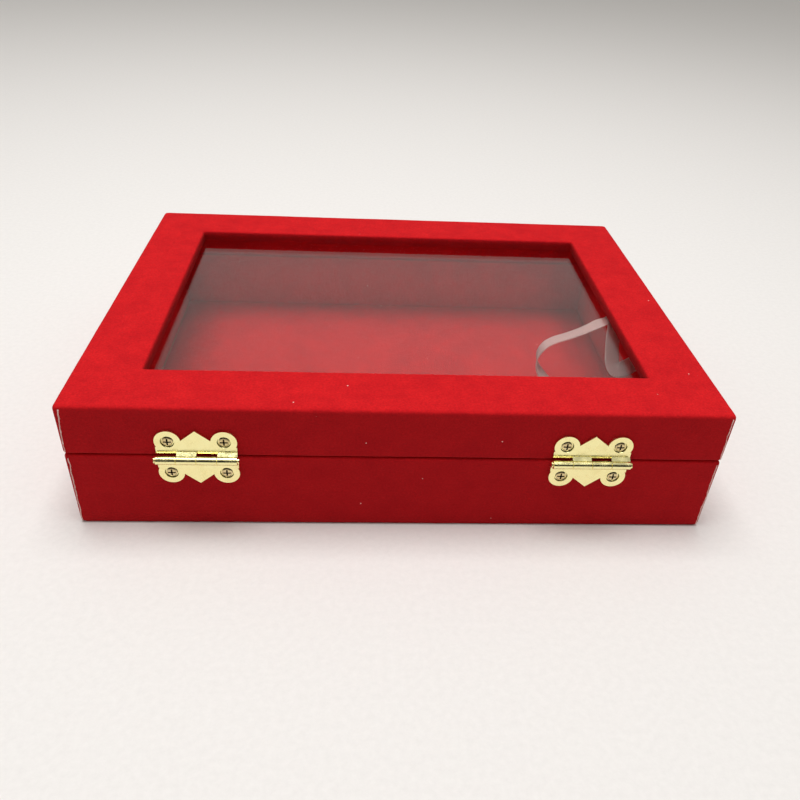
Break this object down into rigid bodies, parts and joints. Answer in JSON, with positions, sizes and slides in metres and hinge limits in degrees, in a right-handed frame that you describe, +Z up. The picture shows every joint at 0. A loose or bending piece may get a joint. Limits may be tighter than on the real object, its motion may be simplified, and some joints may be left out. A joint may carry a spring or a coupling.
{
  "type": "coin display tray",
  "caption": "Shallow velvet-covered display tray with a hinged glass-topped lid, butterfly hinges, a front clasp and a ribbon stay.",
  "frame": {"origin": "centre of the underside, on the surface that the tray stands on", "axes": "+X right across the hinges, +Y back towards the hinges with the clasp at -Y, +Z up"},
  "size_m": [0.2, 0.1581, 0.045],
  "materials": {
    "outer_velvet": "short-pile red velvet",
    "lining_velvet": "short-pile red velvet on card",
    "floor_velvet": "short-pile red velvet on card",
    "cover_paper": "flocked cover paper, guessed",
    "fibreboard": "sanded fibreboard, hidden under the cloth",
    "grey_card": "grey card, hidden under the cloth",
    "glass": "clear float glass",
    "brass_plate": "pale yellow brass plating, polished",
    "brass_screws": "brass-plated screws",
    "satin_ribbon": "limp satin ribbon"
  },
  "bodies": {
    "tray": {"underside_cover": "cover_paper", "bottom_board": "fibreboard", "floor_card": "grey_card", "floor_velvet": "floor_velvet", "tray_velvet": "outer_velvet", "lid_stay_ribbon": "satin_ribbon", "tray_wall_front": "fibreboard", "tray_lining_front": "lining_velvet", "tray_wall_back": "fibreboard", "tray_lining_back": "lining_velvet", "tray_wall_left": "fibreboard", "tray_lining_left": "lining_velvet", "tray_wall_right": "fibreboard", "tray_lining_right": "lining_velvet", "hinge_left_tray_leaf": "brass_plate", "hinge_left_pin": "brass_plate", "hinge_left_tray_screws": "brass_screws", "hinge_right_tray_leaf": "brass_plate", "hinge_right_pin": "brass_plate", "hinge_right_tray_screws": "brass_screws", "clasp_catch_plate": "brass_plate", "clasp_catch_screws": "brass_screws"},
    "lid": {"lid_wall_front": "fibreboard", "lid_wall_back": "fibreboard", "lid_wall_left": "fibreboard", "lid_wall_right": "fibreboard", "lid_rail_front": "fibreboard", "lid_rail_back": "fibreboard", "lid_rail_left": "fibreboard", "lid_rail_right": "fibreboard", "lid_lining_front": "lining_velvet", "lid_lining_back": "lining_velvet", "lid_lining_left": "lining_velvet", "lid_lining_right": "lining_velvet", "glass_pane": "glass", "lid_velvet": "outer_velvet", "hinge_left_lid_leaf": "brass_plate", "hinge_left_lid_screws": "brass_screws", "hinge_right_lid_leaf": "brass_plate", "hinge_right_lid_screws": "brass_screws", "clasp_lid_plate": "brass_plate", "clasp_lid_screws": "brass_screws", "clasp_pin": "brass_plate"},
    "clasp_tongue": {"clasp_tongue": "brass_plate"}
  },
  "joints": [
    {"name": "lid_hinge", "type": "hinge", "parent": "tray", "child": "lid", "pos_m": [0, 0.077, 0.0275], "axis": [-1, 0, 0], "range_deg": [0, 97], "deforming": ["lid_stay_ribbon"]},
    {"name": "clasp_hinge", "type": "hinge", "parent": "lid", "child": "clasp_tongue", "pos_m": [0, -0.0765, 0.0315], "axis": [-1, 0, 0], "range_deg": [-10, 150]}
  ]
}
